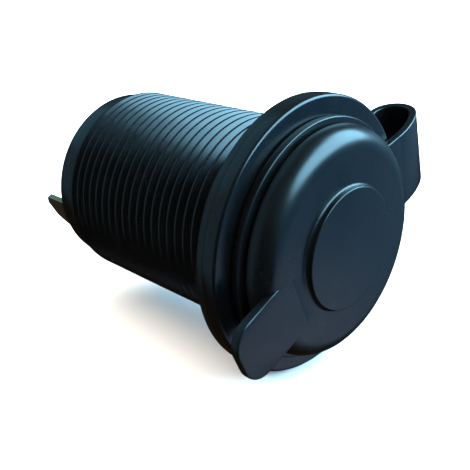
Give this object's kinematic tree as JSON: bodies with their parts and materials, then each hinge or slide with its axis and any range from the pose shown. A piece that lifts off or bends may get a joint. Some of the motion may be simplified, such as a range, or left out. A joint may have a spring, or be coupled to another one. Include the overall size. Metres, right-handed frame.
{
  "type": "car 12v power socket",
  "caption": "Threaded panel socket for a 12 volt plug, with a round flange, blade terminals and a tethered rubber cap.",
  "frame": {"origin": "on the socket's axis, in the plane of the panel seat behind the flange", "axes": "mouth and cap face -Y, the barrel runs towards +Y, the strap is at +X, 17.5 degrees up, and the pull tab is opposite, as the socket lies in the picture"},
  "size_m": [0.0461, 0.0529, 0.0356],
  "materials": {
    "nylon": "moulded black nylon, satin",
    "nickel": "nickel plated, drawn",
    "phenolic": "brown fibre",
    "brass": "stamped brass",
    "rivet_steel": "zinc plated",
    "tinned_brass": "tinned, dull",
    "rubber": "smooth black rubber"
  },
  "bodies": {
    "socket": {"housing": "nylon", "contact_shell": "nickel", "insulating_washer": "phenolic", "centre_contact": "brass", "centre_rivet": "rivet_steel", "shell_rivet": "rivet_steel", "ground_rivet": "rivet_steel", "terminal_positive": "tinned_brass", "terminal_negative": "tinned_brass", "tether_ring": "rubber", "strap": "rubber"},
    "cap": {"cap": "rubber"}
  },
  "joints": [
    {"name": "cap_swing", "type": "hinge", "parent": "socket", "child": "cap", "pos_m": [0.02689, -0.003, 0.00848], "axis": [-0.3007, 0, 0.9537], "range_deg": [0, 150], "deforming": ["strap"]}
  ]
}
